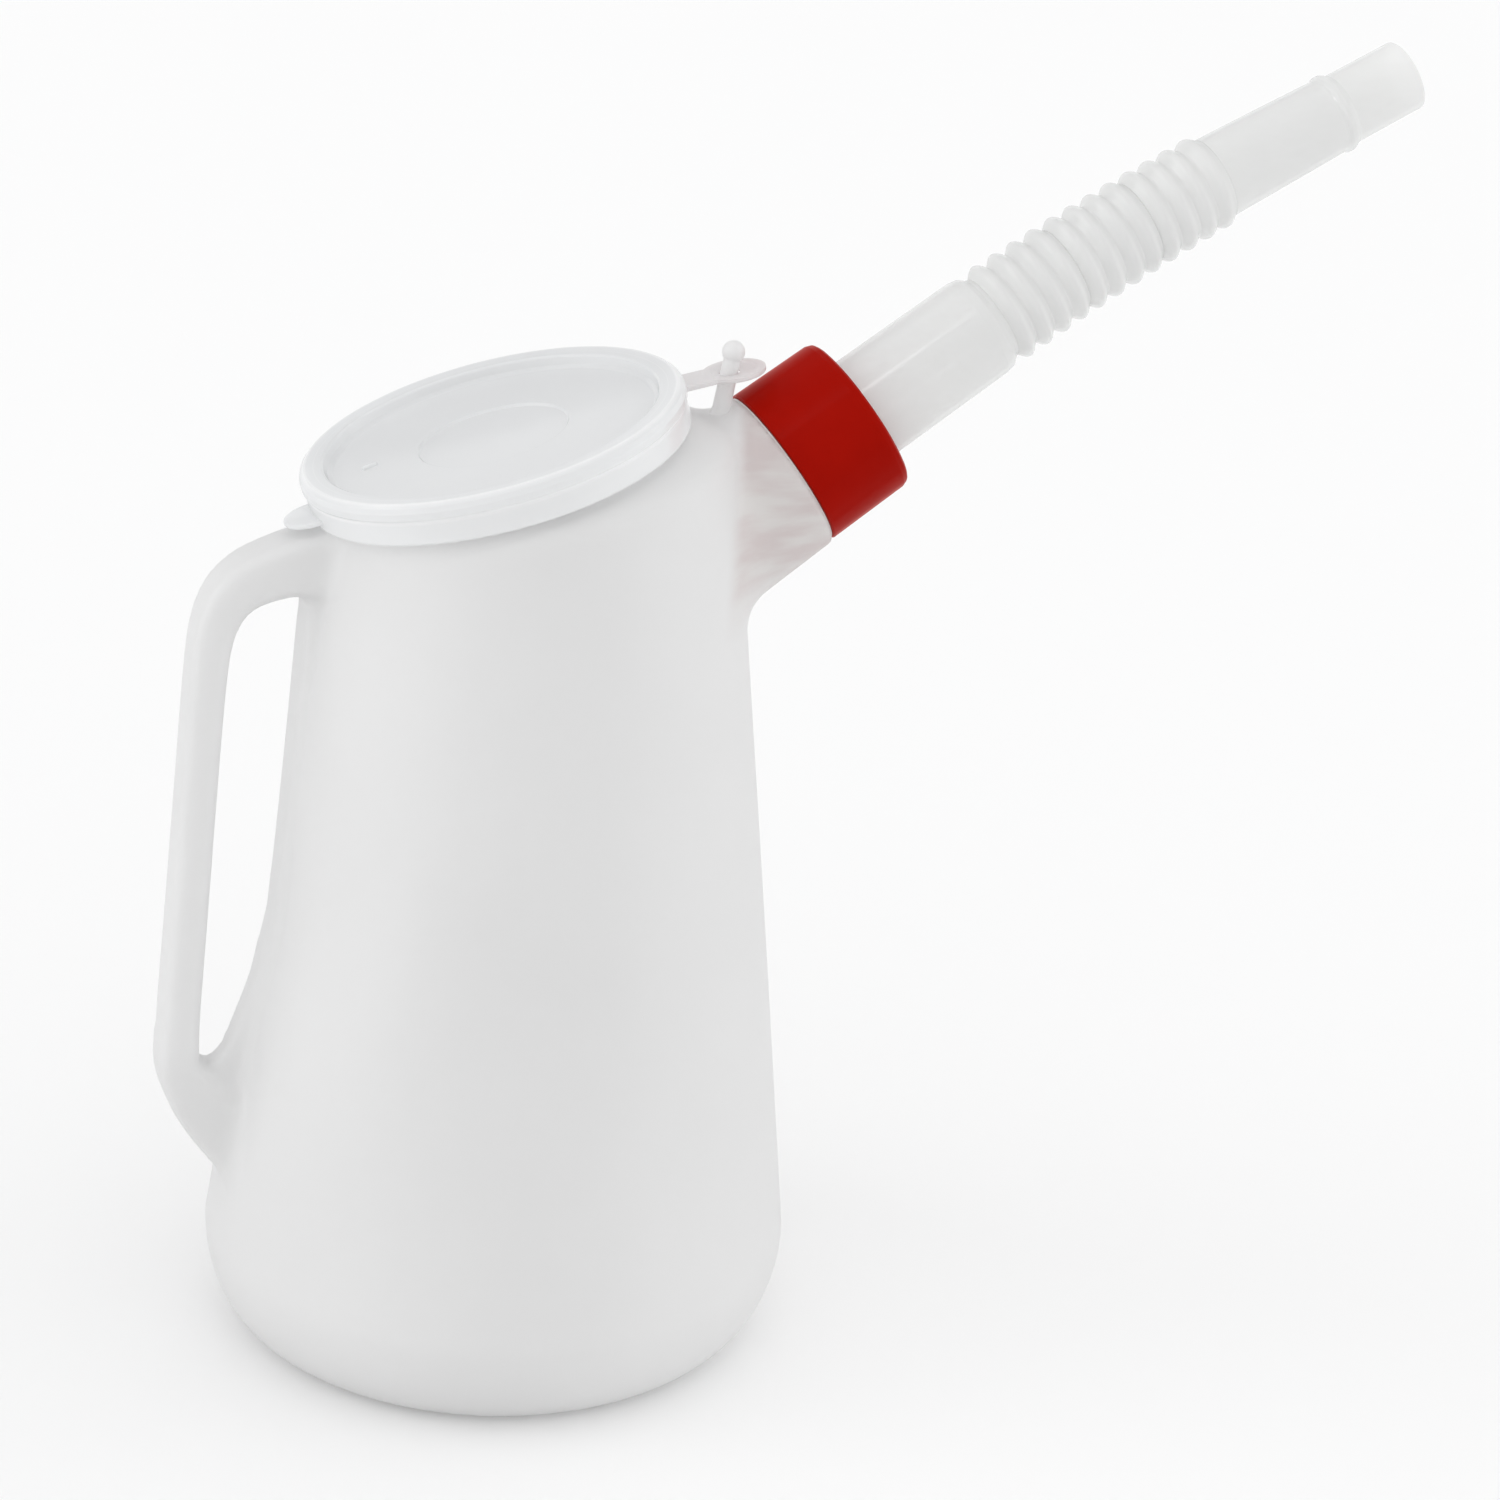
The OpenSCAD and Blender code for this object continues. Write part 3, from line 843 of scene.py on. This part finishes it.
nut_obj = placed(nut, AX_O, neck_x, AX_D, "nut_visual", 256, 40, radius=fluted)
nut_obj.data.materials.append(MAT["nut"])
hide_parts("union_nut")
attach(nut_obj, "collar")

# ------------------------------------------------------------------ seal ring
seal = placed(rounded([(17.1, 36.6), (22.4, 36.6), (22.4, 38.4), (17.1, 38.4)], 0.3), AX_O, neck_x, AX_D, "seal_visual", 96, 50)
seal.data.materials.append(MAT["seal"])
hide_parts("seal_ring")
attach(seal, "seal")

# ---------------------------------------------------------------------- spout
# One moulding. The centre line starts along the neck and droops a little in the bellows.
B0, PITCH, RIDGES = 95.7, 7.1, 12
SEG = PITCH * 4


def centre_line():
    """Sampled (length, x, z, angle) of the spout's centre line at rest."""
    ls = np.arange(36.0, 256.0, 0.25)
    ang = np.empty_like(ls)
    for i, l in enumerate(ls):
        t = (l - B0) / SEG
        steps = [0.0, 1.0, 2.0, 3.0]
        a = 0.0
        for s in steps:
            u = np.clip((t - s) / 0.5 + 0.5, 0, 1)
            a += DROOP * (u * u * (3 - 2 * u))
        ang[i] = ELEV - a
    x = np.concatenate([[0], np.cumsum(0.25 * np.cos((ang[:-1] + ang[1:]) / 2))])
    z = np.concatenate([[0], np.cumsum(0.25 * np.sin((ang[:-1] + ang[1:]) / 2))])
    o = AX_O + 36.0 * AX_D
    return ls, o[0] + x, o[2] + z, ang


CL = centre_line()


def bent(profile, n, name, sharp=None):
    """A closed or open profile of (r, length) swept round the centre line."""
    prof = np.array(profile, float)
    x = np.interp(prof[:, 1], CL[0], CL[1])
    z = np.interp(prof[:, 1], CL[0], CL[2])
    a = np.interp(prof[:, 1], CL[0], CL[3])
    ang = np.linspace(0, 2 * math.pi, n, endpoint=False)
    v = []
    m = len(prof)
    for t in ang:
        c, s = math.cos(t), math.sin(t)
        v.append(np.stack([x - np.sin(a) * prof[:, 0] * c, prof[:, 0] * s, z + np.cos(a) * prof[:, 0] * c], 1))
    v = np.concatenate(v)
    f = []
    for i in range(n):
        j = (i + 1) % n
        for k in range(m):
            l = (k + 1) % m
            f.append((i * m + k, i * m + l, j * m + l, j * m + k))
    return mesh_object(name, v, f, True, sharp)


def spout_radius(l):
    """Outer radius of the spout between the nut and the nozzle."""
    t = (l - B0) / PITCH
    if 0 <= t <= RIDGES:
        u = t - math.floor(t)
        g = t / RIDGES
        top_r = 16.9 - 1.3 * g
        low_r = 14.1 - 0.5 * g
        s = 2 * u - 1
        bump = (0.5 - 0.5 * math.cos(2 * math.pi * u)) ** 0.72
        return low_r + (top_r - low_r) * bump
    return 14.0


BW = 1.1
# lower tube with its clamped flange
tube = rounded(
    [
        (15.9, 38.5, 0.2), (22.6, 38.5, 0.3), (22.6, 40.3, 0.3), (17.4, 40.5, 0.5), (17.25, 44.0, 1.0), (16.9, 89.5, 2.5),
        (16.3, 92.6, 1.6), (14.6, 94.4, 0.9), (14.1, B0, 0), (13.0, B0, 0), (13.4, 94.0, 0.8), (15.1, 92.0, 1.2),
        (15.6, 89.3, 2.0), (15.9, 44.0, 1.0),
    ],
    steps=5,
)
tube_obj = bent(tube, 128, "spout_tube_visual", 55)
tube_obj.data.materials.append(MAT["spout"])
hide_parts("spout_tube")
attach(tube_obj, "spout")


for i, (node, a, b) in enumerate(
    [("bellows_a", "spout", "flex_low"), ("bellows_b", "flex_low", "flex_mid"), ("bellows_c", "flex_mid", "nozzle")]
):
    lo, hi = B0 + SEG * i, B0 + SEG * (i + 1)
    ls = np.linspace(lo, hi, 4 * 18 + 1)
    prof = [(spout_radius(min(max(l, lo + 1e-6), hi - 1e-6)), l) for l in ls]
    prof += [(spout_radius(min(max(l, lo + 1e-6), hi - 1e-6)) - BW, l) for l in ls[::-2]]
    o = bent(prof, 96, node + "_visual", 70)
    o.data.materials.append(MAT["spout"])
    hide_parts(node)
    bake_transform(o)

E0 = B0 + SEG * 3
N = 253.4
noz = rounded(
    [
        (12.5, E0, 0), (13.6, E0, 0), (13.6, E0 + 0.6, 0.3), (13.5, E0 + 2.0, 0.8), (13.1, E0 + 20, 0), (12.5, N - 29.6, 0.8),
        (12.6, N - 29.0, 0.4), (13.2, N - 28.0, 0.9), (13.2, N - 26.6, 0.9), (12.4, N - 25.2, 0.5), (11.9, N - 24.4, 0.5),
        (11.8, N - 20, 0), (11.7, N, 0.35), (10.5, N, 0.3), (10.5, N - 24.8, 0.8), (11.6, N - 26.6, 0.8), (11.6, N - 27.8, 0.8),
        (11.2, N - 29.4, 0.8), (11.8, E0 + 20, 0), (12.1, E0 + 2.4, 0.8), (12.4, E0 + 0.8, 0.3),
    ],
    steps=5,
)
noz_obj = bent(noz, 112, "nozzle_visual", 60)
noz_obj.data.materials.append(MAT["spout"])
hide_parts("spout_nozzle")
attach(noz_obj, "nozzle")

# ------------------------------------------------------------ floor, light, camera
floor = mesh_object("floor", [(-6000, -6000, 0), (6000, -6000, 0), (6000, 6000, 0), (-6000, 6000, 0)], [(0, 1, 2, 3)], False)
floor_mat, nt, b = principled("MAT_floor", (0.90, 0.90, 0.90), 0.9)
b.inputs["Specular IOR Level"].default_value = 0.0
floor.data.materials.append(floor_mat)

world = bpy.data.worlds.new("studio")
bpy.context.scene.world = world
world.use_nodes = True
bg = world.node_tree.nodes["Background"]
bg.inputs["Strength"].default_value = 1.04
# white all round, with a grey card high up behind whose slanting lower edge shows in the lid
wt = world.node_tree
look = wt.nodes.new("ShaderNodeTexCoord")
axes = wt.nodes.new("ShaderNodeSeparateXYZ")
wt.links.new(look.outputs["Generated"], axes.inputs[0])


def ramp_of(source, lo, hi):
    node = wt.nodes.new("ShaderNodeMapRange")
    node.interpolation_type = "SMOOTHSTEP"
    node.inputs["From Min"].default_value = lo
    node.inputs["From Max"].default_value = hi
    wt.links.new(source, node.inputs["Value"])
    return node.outputs["Result"]


def product(a, b):
    node = wt.nodes.new("ShaderNodeMath")
    node.operation = "MULTIPLY"
    wt.links.new(a, node.inputs[0])
    wt.links.new(b, node.inputs[1])
    return node.outputs[0]


slant = wt.nodes.new("ShaderNodeVectorMath")
slant.operation = "DOT_PRODUCT"
slant.inputs[1].default_value = (-0.3487, -0.3768, 1.0)
wt.links.new(look.outputs["Generated"], slant.inputs[0])
card = product(ramp_of(slant.outputs["Value"], -0.004, 0.016), ramp_of(axes.outputs["Z"], 0.78, 0.62))
card = product(card, ramp_of(axes.outputs["Y"], 0.35, 0.6))
tone = wt.nodes.new("ShaderNodeMix")
tone.data_type = "RGBA"
tone.inputs[6].default_value = (1, 1, 1, 1)
tone.inputs[7].default_value = (0.45, 0.45, 0.46, 1)
wt.links.new(card, tone.inputs[0])
wt.links.new(tone.outputs[2], bg.inputs["Color"])


def sun(name, way, strength, angle, shadow):
    """A distant soft light that shines along way."""
    l = bpy.data.lights.new(name, "SUN")
    l.energy = strength
    l.angle = math.radians(angle)
    l.use_shadow = shadow
    o = bpy.data.objects.new(name, l)
    o.rotation_euler = Vector(way).to_track_quat("-Z", "Y").to_euler()
    bpy.context.scene.collection.objects.link(o)
    return o


sun("left", (0.90, -0.20, -0.30), 0.50, 40, False)
sun("right", (-0.93, 0.25, -0.22), 0.16, 40, False)
sun("key", (0.45, 0.62, -0.95), 0.20, 9, False)

cam_data = bpy.data.cameras.new("camera")
cam = bpy.data.objects.new("camera", cam_data)
bpy.context.scene.collection.objects.link(cam)
C = np.array([-295.84937 - 2.4, -962.66022, 572.44600]) / 1000
RX = np.array([0.93788916, -0.34071832, 0.06538306])
UY = np.array([0.06167048, 0.34918762, 0.93502126])
BZ = np.array([-0.34140982, -0.87291411, 0.34851155])
mat = Matrix(((RX[0], UY[0], BZ[0], C[0]), (RX[1], UY[1], BZ[1], C[1]), (RX[2], UY[2], BZ[2], C[2]), (0, 0, 0, 1)))
cam.matrix_world = mat
cam_data.sensor_width = 36.0
cam_data.lens = 3408.7087588 / 1500 * 36
cam_data.clip_end = 20
bpy.context.scene.camera = cam

bpy.context.scene.view_settings.view_transform = "Standard"
